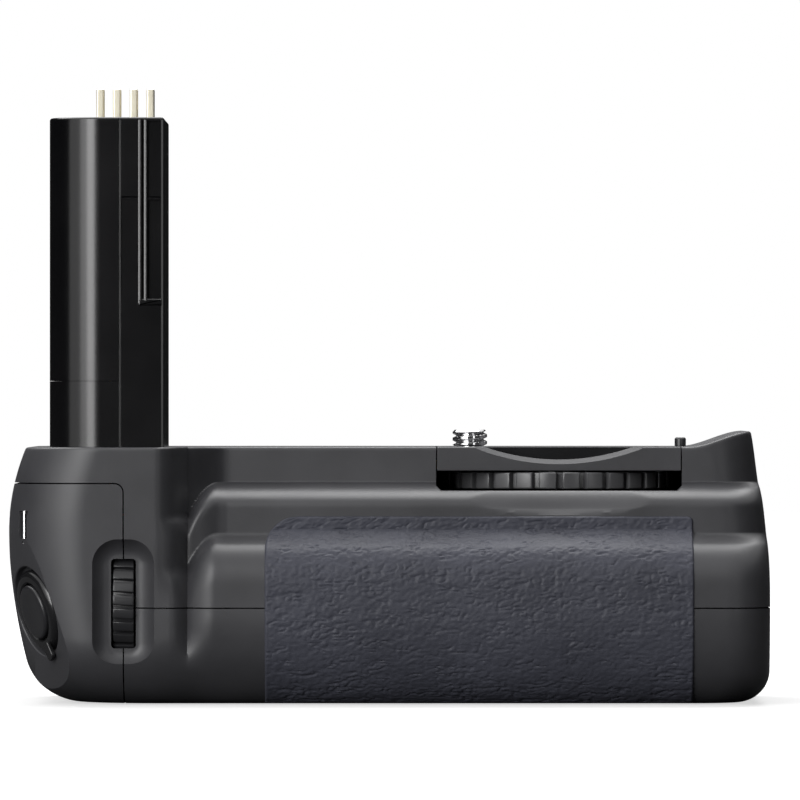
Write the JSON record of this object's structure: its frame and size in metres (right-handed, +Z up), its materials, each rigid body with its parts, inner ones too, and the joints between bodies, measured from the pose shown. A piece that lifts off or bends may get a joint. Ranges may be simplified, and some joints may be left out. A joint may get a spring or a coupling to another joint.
{
  "type": "camera battery grip",
  "caption": "Battery grip that screws under a camera: shelled body with a battery column, geared thumbwheel screw, dials, shutter button and a rear battery tray.",
  "frame": {"origin": "mouth of the tripod socket in the base face, on the common axis of socket and camera screw", "axes": "+Z up along the camera screw, +X to the right seen from the front, -Y to the front"},
  "size_m": [0.1381, 0.0708, 0.1118],
  "materials": {
    "black_plastic": "fine moulded satin grain",
    "control_plastic": "satin",
    "inner_plastic": "smooth",
    "grip_rubber": "wrinkled leather-like grain",
    "steel": "satin",
    "gear_brass": "machined",
    "gold_contact": "gold plated",
    "circuit_board": "solder mask",
    "flex_film": "polyimide film",
    "pack_plastic": "fine grain"
  },
  "bodies": {
    "grip_body": {"upper_case": "black_plastic", "lower_case": "black_plastic", "end_cover": "black_plastic", "tower_frame": "black_plastic", "tower_cover": "black_plastic", "wheel_cover": "black_plastic", "locating_pin": "control_plastic", "battery_chamber": "inner_plastic", "chamber_roof": "inner_plastic", "contact_block": "inner_plastic", "front_encoder": "inner_plastic", "rear_encoder": "inner_plastic", "shutter_switch": "inner_plastic", "rear_switch": "inner_plastic", "front_grip_pad": "grip_rubber", "rear_thumb_pad": "grip_rubber", "base_pad": "grip_rubber", "tower_plate": "steel", "tower_screws": "steel", "cover_screws": "steel", "chassis_plate": "steel", "wheel_axle": "steel", "tripod_socket": "steel", "front_bracket": "steel", "rear_bracket": "steel", "strap_bar": "steel", "case_screws": "steel", "contact_blades": "gold_contact", "main_board": "circuit_board", "left_board": "circuit_board", "shutter_board": "circuit_board", "tower_flex": "flex_film"},
    "thumbwheel": {"thumbwheel": "control_plastic", "wheel_gear": "gear_brass"},
    "mount_screw": {"camera_screw": "steel", "screw_gear": "gear_brass"},
    "front_dial": {"front_dial": "control_plastic"},
    "rear_dial": {"rear_dial": "control_plastic"},
    "shutter": {"shutter_button": "control_plastic"},
    "lock_ring": {"lock_collar": "control_plastic"},
    "rear_button": {"rear_button": "control_plastic"},
    "tray": {"battery_tray": "inner_plastic", "tray_cover": "black_plastic", "battery_packs": "pack_plastic", "tray_contacts": "gold_contact"},
    "latch": {"latch_key": "control_plastic", "latch_cam": "steel"}
  },
  "joints": [
    {"name": "wheel_turn", "type": "hinge", "parent": "grip_body", "child": "thumbwheel", "pos_m": [0.01612, -0.003, 0.04], "axis": [0, 0, 1], "continuous": true},
    {"name": "screw_turn", "type": "hinge", "parent": "grip_body", "child": "mount_screw", "pos_m": [0, 0, 0.045], "axis": [0, 0, 1], "continuous": true},
    {"name": "front_dial_turn", "type": "hinge", "parent": "grip_body", "child": "front_dial", "pos_m": [-0.0628, -0.0253, 0.0183], "axis": [1, 0, 0], "continuous": true},
    {"name": "rear_dial_turn", "type": "hinge", "parent": "grip_body", "child": "rear_dial", "pos_m": [-0.0522, 0.0227, 0.034], "axis": [1, 0, 0], "continuous": true},
    {"name": "shutter_press", "type": "slide", "parent": "grip_body", "child": "shutter", "axis": [0.8696, 0.4204, 0.2588], "range_m": [0, 0.001], "stiffness_N_per_m": 800},
    {"name": "collar_turn", "type": "hinge", "parent": "grip_body", "child": "lock_ring", "pos_m": [-0.0782, -0.0282, 0.0169], "axis": [-0.8696, -0.4204, -0.2588], "range_deg": [0, 40]},
    {"name": "rear_press", "type": "slide", "parent": "grip_body", "child": "rear_button", "axis": [0, -1, 0], "range_m": [0, 0.0006], "stiffness_N_per_m": 800},
    {"name": "tray_slide", "type": "slide", "parent": "grip_body", "child": "tray", "axis": [0, 1, 0], "range_m": [0, 0.058]},
    {"name": "latch_turn", "type": "hinge", "parent": "tray", "child": "latch", "pos_m": [0.0442, 0.031, 0.0186], "axis": [0, 1, 0], "range_deg": [0, 90]}
  ],
  "couplings": [
    {"joint": "screw_turn", "follows": "wheel_turn", "ratio": -0.95238}
  ]
}
